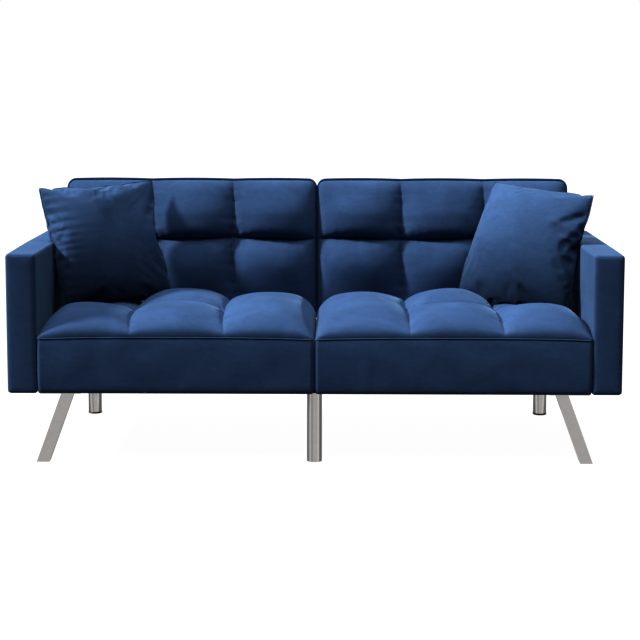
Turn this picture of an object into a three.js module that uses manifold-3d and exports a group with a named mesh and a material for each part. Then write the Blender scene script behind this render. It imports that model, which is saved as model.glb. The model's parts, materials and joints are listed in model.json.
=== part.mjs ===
// Click-clack futon sofa bed: a seat in two upholstered halves, two backrests that recline
// separately, two box arms, five metal legs and two loose throw pillows.
// Millimetres, +Z up, +X to the sitter's left as seen from the front, the front facing -Y.
// The origin is at the bottom centre of the whole sofa. Inside the sofa group y is measured
// back from the front plane, so that depths read directly.
import * as THREE from 'three';
import { mergeVertices } from 'three/addons/utils/BufferGeometryUtils.js';
import Module from 'manifold-3d';

const wasm = await Module();
wasm.setup();

// Driving dimensions
const WIDTH = 1870;
const DEPTH = 780;
const ARM_WIDTH = 91;
const ARM_TOP = 648;
const ARM_BOTTOM = 219;
const ARM_OUTER_RADIUS = 18;
const ARM_BOTTOM_RADIUS = 9;
const ARM_FRONT_RADIUS = 10;
const ARM_REAR_RADIUS = 45;
const ARM_SKIN_GAP = 1.3;

const SEAT_BOTTOM = 224;
const SEAM_HEIGHT = 393;
const SEAT_TOP = 462;
const SEAT_DEPTH = 548;
const SEAT_NOSE = 90;
const CROWN_SLOPE = 64;
const HALF_INNER = 3;
const HALF_OUTER = WIDTH / 2 - ARM_WIDTH - 1;

const BACK_LENGTH = 476;
const BACK_BAND = 66;
const BACK_CROWN = 65;
const BACK_CROWN_START = 20;
const BACK_TOP_NOSE = 70;
const BACK_CORNER_RADIUS = 24;
const BACK_SIDE_CLEARANCE = 1.5;
const BACK_LEAN = THREE.MathUtils.degToRad(8);
const PIVOT_UP = 18; // from the lower end of a backrest to its pivot
const PIVOT_IN = 13; // from a backrest's front seam plane back to its pivot
const PIVOT_GAP = 9; // between the seat's rear face and a flat backrest
const PIVOT_Y = SEAT_DEPTH + PIVOT_GAP + PIVOT_UP;
const PIVOT_Z = SEAM_HEIGHT - PIVOT_IN;

const COVER = 3; // quilted fabric with its backing
const FIT = 0.3; // gap between touching pieces
const DUST_COVER = 1.2; // non-woven sheet under the base
const ROUND_STEPS = 6;

const BOARD = 18;
const PANEL_BOTTOM = SEAT_BOTTOM + FIT;
const PANEL_TOP = 376;
const REAR_BASE_TOP = 316;
const FRAME_FRONT = 6;
const FRAME_REAR = DEPTH - 9;
const PANEL_OUTER_FACE = HALF_OUTER - COVER - 1;
const PANEL_INNER_FACE = HALF_INNER + COVER + 1;

const MIDDLE_RAIL_REAR = SEAT_DEPTH - 2 * COVER - 3;
const SPRING_WIRE_RADIUS = 2;
const SPRING_SWING = 22;
const SPRING_BENDS = 9;
const SPRING_STEPS = 72;
const SPRING_MARGIN = 4;

const PLATE = 4;
const PLATE_SPACING = 4.8;
const EYE_RADIUS = 11;
const PIN_RADIUS = 4;
const BASE_FOOT_FRONT = 28;
const BASE_FOOT_REAR = 130;
const BASE_FOOT_HEIGHT = 58;
const ARM_PLATE_LENGTH = 190;
const ARM_PLATE_BREADTH = 37;
const UPRIGHT_BREADTH = 21;
const HINGE_SLOT_LENGTH = 45;

const LEG_WIDTH = 38;
const LEG_PLATE = 4;
const LEG_TOP = SEAT_BOTTOM - 2 * FIT - DUST_COVER;
const LEG_PLATE_REACH = 42; // from a leg's centre line to the edge of its plate
const FRONT_LEG_Y = 48;
const FRONT_LEG_TOP_X = 755;
const FRONT_LEG_FOOT_X = 836;
const TUBE_RADIUS = 23;
const TUBE_WALL = 2;
const TUBE_SIDES = 28;
const CENTRE_LEG_Y = 60;
const REAR_LEG_X = 780;
const REAR_LEG_Y = 745;
const CAP_HEIGHT = 12;
const CAP_PLUG = 16;

const PILLOW_WIDTH = 392;
const PILLOW_HEIGHT = 374;
const PILLOW_THICKNESS = 116;
const PILLOW_WAIST = 15; // how far the middle of each side is drawn in
const PILLOW_STEPS = 10;
const PILLOW_LEAN = THREE.MathUtils.degToRad(18);

const SIDES = [
  { name: 'left', sign: -1 },
  { name: 'right', sign: 1 },
];

// Materials
const material = (color, roughness, metalness = 0) =>
  new THREE.MeshStandardMaterial({ color, roughness, metalness });
const velvet = material(0x27456f, 0.85);
const pillowVelvet = material(0x2f5182, 0.85);
const foam = material(0xe6dfc8, 0.95);
const plywood = material(0xc9a673, 0.7);
const springSteel = material(0x77797c, 0.45, 0.9);
const zincSteel = material(0x9b9fa3, 0.4, 0.9);
const polishedSteel = material(0xb9b6b2, 0.25, 1);
const blackPlastic = material(0x17181a, 0.6);
const blackCloth = material(0x202124, 0.95);

// Solids
function solidOf(geometry) {
  const bare = geometry.index ? geometry.clone() : geometry;
  bare.deleteAttribute('normal');
  bare.deleteAttribute('uv');
  const merged = mergeVertices(bare, 1e-4);
  return new wasm.Manifold(new wasm.Mesh({
    numProp: 3,
    vertProperties: new Float32Array(merged.attributes.position.array),
    triVerts: new Uint32Array(merged.index.array),
  }));
}

function geometryOf(solid) {
  const { vertProperties, triVerts } = solid.getMesh();
  const geometry = new THREE.BufferGeometry();
  geometry.setAttribute('position', new THREE.BufferAttribute(vertProperties, 3));
  geometry.setIndex(new THREE.BufferAttribute(triVerts, 1));
  geometry.computeVertexNormals();
  return geometry;
}

function box([x0, x1], [y0, y1], [z0, z1]) {
  const geometry = new THREE.BoxGeometry(x1 - x0, y1 - y0, z1 - z0);
  return geometry.translate((x0 + x1) / 2, (y0 + y1) / 2, (z0 + z1) / 2);
}

const solidBox = (x, y, z) => solidOf(box(x, y, z));

const flatShape = (points) => new THREE.Shape(points.map(([a, b]) => new THREE.Vector2(a, b)));

function extrude(shape, length, along, across, up) {
  const geometry = new THREE.ExtrudeGeometry(shape, { depth: length, bevelEnabled: false });
  return geometry.applyMatrix4(new THREE.Matrix4().makeBasis(across, up, along));
}

const X = new THREE.Vector3(1, 0, 0);
const Y = new THREE.Vector3(0, 1, 0);
const Z = new THREE.Vector3(0, 0, 1);

// An outline in (y, z), an outline in (x, z) and an outline in (x, y), each made a prism
const prismX = (points, [x0, x1]) => extrude(flatShape(points), x1 - x0, X, Y, Z).translate(x0, 0, 0);
const prismY = (points, [y0, y1]) =>
  extrude(flatShape(points), y1 - y0, Y.clone().negate(), X, Z).translate(0, y1, 0);
const prismZ = (points, [z0, z1]) => extrude(flatShape(points), z1 - z0, Z, X, Y).translate(0, 0, z0);

function arc([a, b], [ra, rb], from, to) {
  return Array.from({ length: ROUND_STEPS + 1 }, (_, i) => {
    const angle = THREE.MathUtils.degToRad(from + ((to - from) * i) / ROUND_STEPS);
    return [a + ra * Math.cos(angle), b + rb * Math.sin(angle)];
  });
}

// The x range of one half, from distances measured out from the middle of the sofa
const span = (sign, near, far) => (sign > 0 ? [near, far] : [-far, -near]);

// An outline in (x, other) given on the right side, mirrored for the left
const mirrored = (sign, points) => (sign > 0 ? points : points.map(([x, b]) => [-x, b]).reverse());

function mesh(name, geometry, look) {
  const piece = new THREE.Mesh(geometry, look);
  piece.name = name;
  return piece;
}

// Seat: a box band below the seam and a crowned top above it
function seatSolid(sign, inset, bottom) {
  const top = SEAT_TOP - inset;
  const nose = [SEAT_NOSE - inset, top - SEAM_HEIGHT];
  const front = arc([SEAT_NOSE, SEAM_HEIGHT], nose, 180, 90);
  const rear = SEAT_DEPTH - inset;
  const side = [
    [inset, bottom],
    [rear, bottom],
    [rear, SEAM_HEIGHT - inset],
    [rear - CROWN_SLOPE, top],
    ...front.reverse(),
  ];
  const near = HALF_INNER + inset;
  const far = HALF_OUTER - inset;
  const ends = mirrored(sign, [
    [near, bottom],
    [far, bottom],
    [far, SEAM_HEIGHT - inset],
    [far - CROWN_SLOPE, top],
    [near + CROWN_SLOPE / 2, top],
    [near, SEAM_HEIGHT - inset],
  ]);
  const lengthways = solidOf(prismX(side, span(sign, near, far)));
  return lengthways.intersect(solidOf(prismY(ends, [0, SEAT_DEPTH])));
}

function seatCover(sign) {
  const belowAll = SEAT_BOTTOM - 10;
  const behindFrame = [SEAT_DEPTH - 2 * COVER, SEAT_DEPTH + 1];
  const frameWay = solidBox(span(sign, HALF_INNER + COVER, HALF_OUTER - COVER),
    behindFrame, [belowAll, REAR_BASE_TOP + COVER]);
  return geometryOf(seatSolid(sign, 0, SEAT_BOTTOM)
    .subtract(seatSolid(sign, COVER, belowAll))
    .subtract(frameWay));
}

function seatFoam(sign) {
  const aboveSprings = solidBox(span(sign, 0, WIDTH / 2), [0, SEAT_DEPTH], [PANEL_TOP + 6, ARM_TOP]);
  return geometryOf(seatSolid(sign, COVER + FIT, SEAT_BOTTOM).intersect(aboveSprings));
}

function sidePanel(x) {
  const step = MIDDLE_RAIL_REAR + 1;
  return prismX([
    [FRAME_FRONT, PANEL_BOTTOM],
    [FRAME_REAR, PANEL_BOTTOM],
    [FRAME_REAR, REAR_BASE_TOP],
    [step, REAR_BASE_TOP],
    [step, PANEL_TOP],
    [FRAME_FRONT, PANEL_TOP],
  ], x);
}

class ZigzagCurve extends THREE.Curve {
  constructor(x) {
    super();
    this.x = x;
  }

  getPoint(t) {
    const start = FRAME_FRONT + SPRING_MARGIN;
    const end = MIDDLE_RAIL_REAR - SPRING_MARGIN;
    const sway = SPRING_SWING * Math.sin(2 * Math.PI * SPRING_BENDS * t);
    const height = PANEL_TOP + FIT + SPRING_WIRE_RADIUS;
    return new THREE.Vector3(this.x + sway, start + (end - start) * t, height);
  }
}

function zigzagSpring(x) {
  const section = flatShape(arc([0, 0], [SPRING_WIRE_RADIUS, SPRING_WIRE_RADIUS], 0, 300));
  return new THREE.ExtrudeGeometry(section, { steps: SPRING_STEPS, extrudePath: new ZigzagCurve(x) });
}

// The deck over the rear of the base and the strip down behind it, slit for the hinge plates
function rearBaseCover(sign) {
  const top = REAR_BASE_TOP + FIT + COVER;
  const rear = FRAME_REAR + FIT + COVER;
  const strip = prismX([
    [SEAT_DEPTH + 1, REAR_BASE_TOP + FIT],
    [FRAME_REAR + FIT, REAR_BASE_TOP + FIT],
    [FRAME_REAR + FIT, SEAT_BOTTOM],
    [rear, SEAT_BOTTOM],
    [rear, top],
    [SEAT_DEPTH + 1, top],
  ], span(sign, HALF_INNER, HALF_OUTER));
  return geometryOf(hingePlaces(sign).reduce((cover, { plates }) => {
    const slit = solidBox([plates.base[0] - 1, plates.base[1] + 1],
      [PIVOT_Y - EYE_RADIUS - 2, PIVOT_Y + EYE_RADIUS + 2], [REAR_BASE_TOP, top + 1]);
    return cover.subtract(slit);
  }, solidOf(strip)));
}

function seatHalf({ name, sign }) {
  const between = span(sign, PANEL_INNER_FACE + BOARD + FIT, PANEL_OUTER_FACE - BOARD - FIT);
  const boards = {
    outer_side_panel: sidePanel(span(sign, PANEL_OUTER_FACE - BOARD, PANEL_OUTER_FACE)),
    inner_side_panel: sidePanel(span(sign, PANEL_INNER_FACE, PANEL_INNER_FACE + BOARD)),
    seat_front_rail: box(between, [FRAME_FRONT, FRAME_FRONT + BOARD], [PANEL_BOTTOM, PANEL_TOP]),
    seat_middle_rail: box(between, [MIDDLE_RAIL_REAR - BOARD, MIDDLE_RAIL_REAR], [PANEL_BOTTOM, PANEL_TOP]),
    base_rear_rail: box(between, [FRAME_REAR - BOARD, FRAME_REAR], [PANEL_BOTTOM, REAR_BASE_TOP]),
  };
  const half = new THREE.Group();
  Object.entries(boards).forEach(([board, shape]) => {
    half.add(mesh(`${board}_${name}`, shape, plywood));
  });
  ['inner', 'outer'].forEach((place, i) => {
    const x = (sign * (i + 1) * (HALF_INNER + HALF_OUTER)) / 3;
    half.add(mesh(`zigzag_spring_${place}_${name}`, zigzagSpring(x), springSteel));
  });
  half.add(
    mesh(`seat_foam_${name}`, seatFoam(sign), foam),
    mesh(`seat_cover_${name}`, seatCover(sign), velvet),
    mesh(`rear_base_cover_${name}`, rearBaseCover(sign), velvet),
  );
  return half;
}

// Arms: a plywood case open below, in a sewn cover
function armSolid(sign, inset, bottom) {
  const near = HALF_OUTER + ARM_SKIN_GAP + inset;
  const far = WIDTH / 2 - inset;
  const top = ARM_TOP - inset;
  const outerRadius = ARM_OUTER_RADIUS - inset;
  const footRadius = Math.max(ARM_BOTTOM_RADIUS - inset, 1);
  const across = mirrored(sign, [
    [near, bottom],
    ...arc([far - footRadius, bottom + footRadius], [footRadius, footRadius], -90, 0),
    ...arc([far - outerRadius, top - outerRadius], [outerRadius, outerRadius], 0, 90),
    [near, top],
  ]);
  const frontRadius = ARM_FRONT_RADIUS - inset;
  const rearRadius = ARM_REAR_RADIUS - inset;
  const rear = DEPTH - inset;
  const lengthways = [
    [inset, bottom],
    [rear, bottom],
    ...arc([rear - rearRadius, top - rearRadius], [rearRadius, rearRadius], 0, 90),
    ...arc([inset + frontRadius, top - frontRadius], [frontRadius, frontRadius], 90, 180),
  ];
  const along = solidOf(prismX(lengthways, span(sign, near, far)));
  return along.intersect(solidOf(prismY(across, [0, DEPTH])));
}

function arm({ name, sign }) {
  const belowAll = ARM_BOTTOM - 30;
  const cover = armSolid(sign, 0, ARM_BOTTOM).subtract(armSolid(sign, COVER, belowAll));
  const outerWall = 9;
  const caseSkin = COVER + FIT;
  const hollowCase = armSolid(sign, caseSkin, ARM_BOTTOM + COVER)
    .subtract(solidBox(
      span(sign, HALF_OUTER + ARM_SKIN_GAP + caseSkin + BOARD, WIDTH / 2 - caseSkin - outerWall),
      [caseSkin + BOARD, DEPTH - caseSkin - BOARD],
      [belowAll, ARM_TOP - 2 * BOARD],
    ));
  const group = new THREE.Group();
  group.add(
    mesh(`arm_case_${name}`, geometryOf(hollowCase), plywood),
    mesh(`arm_cover_${name}`, geometryOf(cover), velvet),
  );
  return group;
}

// Hinges: on each half one near the middle and one near the arm. The base plate lies on the
// side panel, the arm plate turns beside it and is fixed to the backrest's upright.
function hingePlaces(sign) {
  return ['inner', 'outer'].map((place) => {
    const face = place === 'inner' ? PANEL_INNER_FACE + BOARD : PANEL_OUTER_FACE - BOARD;
    const away = place === 'inner' ? 1 : -1;
    const range = (from, to) => {
      const ends = [face + away * from, face + away * to].sort((a, b) => a - b);
      return span(sign, ends[0], ends[1]);
    };
    const plates = {
      base: range(FIT, FIT + PLATE),
      arm: range(FIT + PLATE_SPACING, FIT + PLATE_SPACING + PLATE),
      both: range(FIT, FIT + PLATE_SPACING + PLATE),
      slot: range(-FIT, 2 * FIT + PLATE_SPACING + PLATE),
      upright: range(2 * FIT + PLATE_SPACING + PLATE, 2 * FIT + PLATE_SPACING + PLATE + UPRIGHT_BREADTH),
    };
    return { place, plates };
  });
}

function platePrism(points, x) {
  const hole = new THREE.CylinderGeometry(PIN_RADIUS + FIT, PIN_RADIUS + FIT, 4 * PLATE, 20);
  hole.rotateZ(Math.PI / 2).translate((x[0] + x[1]) / 2, 0, 0);
  return geometryOf(solidOf(prismX(points, x)).subtract(solidOf(hole)));
}

// Both plates are drawn about the pivot: (y, z) from it
function basePlate(x) {
  const footTop = REAR_BASE_TOP - PIVOT_Z - 4;
  const footBottom = footTop - BASE_FOOT_HEIGHT;
  const shoulder = footTop - 8;
  return platePrism([
    [EYE_RADIUS, footTop],
    ...arc([0, 0], [EYE_RADIUS, EYE_RADIUS], 0, 180),
    [-EYE_RADIUS, footTop],
    [-BASE_FOOT_FRONT, shoulder],
    [-BASE_FOOT_FRONT, footBottom],
    [BASE_FOOT_REAR, footBottom],
    [BASE_FOOT_REAR, shoulder],
  ], x);
}

function armPlate(x) {
  const neck = HINGE_SLOT_LENGTH + 1;
  return platePrism([
    ...arc([0, 0], [EYE_RADIUS, EYE_RADIUS], 180, 360),
    [ARM_PLATE_BREADTH, neck],
    [ARM_PLATE_BREADTH, ARM_PLATE_LENGTH],
    [0, ARM_PLATE_LENGTH],
    [0, neck],
    [-EYE_RADIUS / 2, neck / 2],
  ], x);
}

function pivotPin(x) {
  const pin = new THREE.CylinderGeometry(PIN_RADIUS, PIN_RADIUS, x[1] - x[0], 16);
  return pin.rotateZ(Math.PI / 2).translate((x[0] + x[1]) / 2, 0, 0);
}

// Backrests, drawn upright about the pivot: z runs up the rest, -y is its front
const restY = (forward) => -(forward + PIVOT_IN);
const restZ = (up) => up - PIVOT_UP;

function backSolid(sign, inset) {
  const crown = BACK_CROWN - inset;
  const front = restY(crown);
  const seam = restY(-inset);
  const rear = restY(inset - BACK_BAND);
  const low = restZ(inset);
  const high = restZ(BACK_LENGTH - inset);
  const slopeEnd = restZ(BACK_CROWN_START + inset + BACK_CROWN * 0.95);
  const nose = BACK_TOP_NOSE - inset;
  const profile = [
    [rear, low],
    [rear, high],
    [seam, high],
    ...arc([seam, high - nose], [seam - front, nose], 90, 180).slice(1),
    [front, slopeEnd],
    [seam, restZ(BACK_CROWN_START + inset)],
    [seam, low],
  ];
  const near = HALF_INNER + BACK_SIDE_CLEARANCE / 2 + inset;
  const far = HALF_OUTER - BACK_SIDE_CLEARANCE - inset;
  const crossways = mirrored(sign, [
    [near, rear],
    [far, rear],
    [far, seam],
    [far - CROWN_SLOPE, front],
    [near + CROWN_SLOPE / 2, front],
    [near, seam],
  ]);
  const corner = BACK_CORNER_RADIUS - inset;
  const outline = mirrored(sign, [
    [near, low],
    [far, low],
    ...arc([far - corner, high - corner], [corner, corner], 0, 90),
    ...arc([near + corner, high - corner], [corner, corner], 90, 180),
  ]);
  const reversed = [...profile].reverse();
  return solidOf(prismX(reversed, span(sign, near, far)))
    .intersect(solidOf(prismZ(crossways, [low, high])))
    .intersect(solidOf(prismY(outline, [front, rear])));
}

function withoutHingeSlots(solid, sign) {
  return hingePlaces(sign).reduce((rest, { plates }) => rest.subtract(solidBox(plates.slot,
    [restY(2), restY(-BACK_BAND) + 1], [restZ(0) - 1, restZ(HINGE_SLOT_LENGTH)])), solid);
}

function backCover(sign) {
  return geometryOf(withoutHingeSlots(backSolid(sign, 0).subtract(backSolid(sign, COVER)), sign));
}

const BACK_FRAME_REAR = restY(COVER + FIT - BACK_BAND);
const BACK_FRAME_FRONT = restY(-6);
const SUPPORT_THICKNESS = 6;

function backFoam(sign) {
  const front = BACK_FRAME_FRONT - FIT;
  const fullHeight = [restZ(0), restZ(BACK_LENGTH)];
  const ahead = solidBox(span(sign, 0, WIDTH / 2), [restY(BACK_CROWN), front], fullHeight);
  const blank = backSolid(sign, COVER + FIT).intersect(ahead);
  return geometryOf(withoutHingeSlots(blank, sign));
}

function backrest({ name, sign }) {
  const [low, high] = [restZ(COVER + 3), restZ(BACK_LENGTH - COVER - 3)];
  const deep = [BACK_FRAME_FRONT, BACK_FRAME_REAR];
  const [inner, outer] = hingePlaces(sign).map(({ plates }) => plates.upright);
  const between = sign > 0 ? [inner[1] + FIT, outer[0] - FIT] : [outer[1] + FIT, inner[0] - FIT];
  const railDeep = [BACK_FRAME_FRONT + SUPPORT_THICKNESS + FIT, BACK_FRAME_REAR];
  const group = new THREE.Group();
  group.add(
    mesh(`back_inner_upright_${name}`, box(inner, deep, [low, high]), plywood),
    mesh(`back_outer_upright_${name}`, box(outer, deep, [low, high]), plywood),
    mesh(`back_top_rail_${name}`, box(between, railDeep, [high - BOARD, high]), plywood),
    mesh(`back_bottom_rail_${name}`, box(between, railDeep, [low, low + BOARD]), plywood),
    mesh(`back_support_panel_${name}`,
      box(between, [BACK_FRAME_FRONT, BACK_FRAME_FRONT + SUPPORT_THICKNESS], [low, high]), plywood),
    mesh(`back_foam_${name}`, backFoam(sign), foam),
    mesh(`back_cover_${name}`, backCover(sign), velvet),
  );
  hingePlaces(sign).forEach(({ place, plates }) => {
    group.add(mesh(`hinge_arm_plate_${place}_${name}`, armPlate(plates.arm), zincSteel));
  });
  group.position.set(0, PIVOT_Y, PIVOT_Z);
  group.rotation.x = -BACK_LEAN;
  return group;
}

function fixedHingeParts({ name, sign }) {
  const group = new THREE.Group();
  hingePlaces(sign).forEach(({ place, plates }) => {
    group.add(
      mesh(`hinge_base_plate_${place}_${name}`, basePlate(plates.base), zincSteel),
      mesh(`hinge_pin_${place}_${name}`, pivotPin(plates.both), zincSteel),
    );
  });
  group.position.set(0, PIVOT_Y, PIVOT_Z);
  return group;
}

// Legs
const mountingPlate = (x, y) => solidBox(x, y, [LEG_TOP - LEG_PLATE, LEG_TOP]);

function slantedLeg(sign) {
  const half = LEG_WIDTH / 2;
  const top = LEG_TOP - LEG_PLATE / 2;
  const bar = prismY(mirrored(sign, [
    [FRONT_LEG_FOOT_X - half, 0],
    [FRONT_LEG_FOOT_X + half, 0],
    [FRONT_LEG_TOP_X + half, top],
    [FRONT_LEG_TOP_X - half, top],
  ]), [FRONT_LEG_Y - half, FRONT_LEG_Y + half]);
  const plate = mountingPlate(span(sign, FRONT_LEG_TOP_X - LEG_PLATE_REACH, PANEL_OUTER_FACE - 2),
    [FRONT_LEG_Y - LEG_PLATE_REACH, FRONT_LEG_Y + LEG_PLATE_REACH]);
  return geometryOf(solidOf(bar).add(plate));
}

function tubeSolid(radius, z0, z1) {
  const tube = new THREE.CylinderGeometry(radius, radius, z1 - z0, TUBE_SIDES);
  return solidOf(tube.rotateX(Math.PI / 2).translate(0, 0, (z0 + z1) / 2));
}

function tubeLeg(foot, plateX, plateY) {
  const bore = tubeSolid(TUBE_RADIUS - TUBE_WALL, foot - 1, LEG_TOP - LEG_PLATE);
  return geometryOf(tubeSolid(TUBE_RADIUS, foot, LEG_TOP - LEG_PLATE / 2)
    .subtract(bore)
    .add(mountingPlate(plateX, plateY)));
}

function endCap() {
  const plug = tubeSolid(TUBE_RADIUS - TUBE_WALL - FIT, 0, CAP_HEIGHT + CAP_PLUG);
  return geometryOf(tubeSolid(TUBE_RADIUS + 1, 0, CAP_HEIGHT).add(plug));
}

function legs() {
  const group = new THREE.Group();
  SIDES.forEach(({ name, sign }) => {
    const plateX = span(sign, -LEG_PLATE_REACH, PANEL_OUTER_FACE - REAR_LEG_X - 2);
    const plateY = [-LEG_PLATE_REACH, TUBE_RADIUS];
    const rearLeg = mesh(`rear_leg_${name}`,
      tubeLeg(CAP_HEIGHT + FIT, plateX, plateY), polishedSteel);
    const cap = mesh(`rear_leg_cap_${name}`, endCap(), blackPlastic);
    [rearLeg, cap].forEach((piece) => piece.position.set(sign * REAR_LEG_X, REAR_LEG_Y, 0));
    group.add(mesh(`front_leg_${name}`, slantedLeg(sign), polishedSteel), rearLeg, cap);
  });
  const reach = [-LEG_PLATE_REACH, LEG_PLATE_REACH];
  const centreLeg = mesh('centre_leg', tubeLeg(0, reach, reach), polishedSteel);
  centreLeg.position.y = CENTRE_LEG_Y;
  group.add(centreLeg);
  return group;
}

// Throw pillows: two bulged faces meeting at a seam whose sides are drawn in
function pillowGeometry() {
  const [halfWidth, halfHeight] = [PILLOW_WIDTH / 2, PILLOW_HEIGHT / 2];
  const positions = [];
  const indices = [];
  const keys = new Map();
  const vertex = (i, j, face) => {
    const u = (2 * i) / PILLOW_STEPS - 1;
    const v = (2 * j) / PILLOW_STEPS - 1;
    const bulge = (1 - u ** 4) * (1 - v ** 4);
    const key = bulge === 0 ? `${i},${j}` : `${i},${j},${face}`;
    if (!keys.has(key)) {
      keys.set(key, positions.length / 3);
      positions.push(
        u * (halfWidth - PILLOW_WAIST * (1 - v * v)),
        (face * PILLOW_THICKNESS * Math.sqrt(bulge)) / 2,
        v * (halfHeight - PILLOW_WAIST * (1 - u * u)),
      );
    }
    return keys.get(key);
  };
  for (let i = 0; i < PILLOW_STEPS; i += 1) {
    for (let j = 0; j < PILLOW_STEPS; j += 1) {
      [-1, 1].forEach((face) => {
        const quad = [[i, j], [i + 1, j], [i + 1, j + 1], [i, j + 1]];
        const [a, b, c, d] = quad.map(([k, l]) => vertex(k, l, face));
        indices.push(...(face < 0 ? [a, b, c, a, c, d] : [a, c, b, a, d, c]));
      });
    }
  }
  const geometry = new THREE.BufferGeometry();
  geometry.setAttribute('position', new THREE.Float32BufferAttribute(positions, 3));
  geometry.setIndex(indices);
  geometry.computeVertexNormals();
  return geometry;
}

function pillow(name, [x, y, z], turnDegrees, rollDegrees) {
  const piece = mesh(`throw_pillow_${name}`, pillowGeometry(), pillowVelvet);
  piece.position.set(x, y, z);
  piece.rotation.set(
    -PILLOW_LEAN,
    THREE.MathUtils.degToRad(rollDegrees),
    THREE.MathUtils.degToRad(turnDegrees),
    'ZYX',
  );
  return piece;
}

const sofa = new THREE.Group();
sofa.name = 'futon_sofa_bed';
SIDES.forEach((side) => {
  sofa.add(seatHalf(side), arm(side), fixedHingeParts(side), backrest(side));
});
const dustCover = box([2 - PANEL_OUTER_FACE, PANEL_OUTER_FACE - 2], [FRAME_FRONT, FRAME_REAR],
  [LEG_TOP + FIT, LEG_TOP + FIT + DUST_COVER]);
sofa.add(
  legs(),
  mesh('dust_cover', dustCover, blackCloth),
  pillow('left', [-678, 394, 648], 33, -2),
  pillow('right', [682, 388, 646], -38, 3),
);
sofa.position.y = -DEPTH / 2;

const part = new THREE.Group();
part.add(sofa);

export default part;
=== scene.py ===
"""Upholstery, pillows, legs and finishes of the futon sofa bed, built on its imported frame.

Metres, X to the right seen from the front, Y to the rear, Z up, origin on the floor under the
middle. Shapes of one half are drawn on the right side and mirrored for the left: u then runs
outwards from the middle of the sofa.
"""
import json
import math

import bmesh
import bpy
import numpy as np
from mathutils import Matrix, Vector


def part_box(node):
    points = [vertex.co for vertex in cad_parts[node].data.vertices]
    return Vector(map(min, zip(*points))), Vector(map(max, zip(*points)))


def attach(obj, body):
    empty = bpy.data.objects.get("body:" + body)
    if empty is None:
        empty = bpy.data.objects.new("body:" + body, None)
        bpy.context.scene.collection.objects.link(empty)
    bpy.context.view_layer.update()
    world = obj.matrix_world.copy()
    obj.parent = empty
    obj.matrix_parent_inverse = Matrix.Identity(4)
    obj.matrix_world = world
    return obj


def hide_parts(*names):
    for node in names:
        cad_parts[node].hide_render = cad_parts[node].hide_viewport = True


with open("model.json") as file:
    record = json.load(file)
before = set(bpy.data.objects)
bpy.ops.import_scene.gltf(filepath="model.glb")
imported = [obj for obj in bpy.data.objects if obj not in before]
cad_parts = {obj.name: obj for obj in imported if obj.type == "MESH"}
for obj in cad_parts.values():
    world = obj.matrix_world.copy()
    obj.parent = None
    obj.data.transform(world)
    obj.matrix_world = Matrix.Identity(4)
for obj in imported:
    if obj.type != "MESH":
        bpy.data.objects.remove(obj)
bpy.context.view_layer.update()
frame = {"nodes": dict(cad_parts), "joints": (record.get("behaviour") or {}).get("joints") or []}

SIDES = (("left", -1), ("right", 1))
SEAT_LOW, SEAT_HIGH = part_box("seat_cover_right")
BACK_LOW, BACK_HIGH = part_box("back_cover_right")
ARM_LOW, ARM_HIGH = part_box("arm_cover_right")
DECK_LOW, DECK_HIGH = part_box("rear_base_cover_right")
FRONT = SEAT_LOW.y
COVER_STEP = 0.0062  # between grid lines of a tufted cover
EDGE_TURNS = np.linspace(0, np.pi / 2, 6)[1:]  # angles of grid lines over a rounded edge

# Seat: v runs back from its front edge and heights are measured from its seam
SEAM_HEIGHT = 0.393
SEAT_COLUMNS = (SEAT_LOW.x, 0.290, 0.575, SEAT_HIGH.x)
SEAT_ROWS = (0.0, 0.292, SEAT_HIGH.y - SEAT_LOW.y)
SEAT_CORNER = 0.008
SEAT_IRREGULARITY = {-1: (4.1, 0.018), 1: (1.3, -0.004)}  # per side, the phase and the seams' splay
NOSE_OVERHANG = 0.004
NOSE_REACH = 0.010
NOSE_START = 0.02
SEAM_RISE = 0.0015
SEAM_FALL = 0.0055
SEAT_PIPING = 0.0020
SEAT_PIPING_INSET = 0.0005
SEAT_PIPING_DROP = 0.0015
# Down the band and in under it: height from the seam, and distance out of the outline
SEAT_BAND = (
    (-0.002, -0.0006), (-0.005, 0.0), (-0.03, 0.0015), (-0.06, 0.0026), (-0.09, 0.0028),
    (-0.12, 0.0022), (-0.145, 0.0014), (-0.160, 0.0006), (-0.1690, -0.0008), (-0.1728, -0.0030),
    (-0.1728, -0.0046), (-0.169, -0.0054), (-0.169, -0.024),
)
SEAT_BAND_DEPTH = 0.173
SEAT_RIPPLE = 0.0006
SEAT_RIPPLE_FROM, SEAT_RIPPLE_TO = -0.16, -0.01
SEAT_CLOSING = 0.0028  # how far the band's inner side leans towards the other half
SEAT_CLOSING_DROP = 0.015

# Backrest: v runs up it and the height is measured forward from its front seam
PIVOT = Vector(next(j["pos_m"] for j in frame["joints"] if j["name"] == "back_right_recline"))
PIVOT.x = 0
LEAN = math.radians(8)
PIVOT_UP = 0.018
PIVOT_IN = 0.013
BACK_LENGTH = 0.469
BACK_BAND = 0.066
BACK_COLUMNS = (BACK_LOW.x, 0.282, 0.558, BACK_HIGH.x - 0.001)
BACK_ROWS = (0.020, 0.272, BACK_LENGTH)
BACK_HEM = 0.014
BACK_HEM_ROWS = 3
BACK_CORNER = 0.024
BACK_CORNER_ROWS = 8
BACK_CORNER_CLEAR = 0.002
BACK_LOWER_CORNER = 0.008
BACK_SCALLOP = 0.0026
BACK_PHASE = {-1: 0.6, 1: 2.2}
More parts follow.
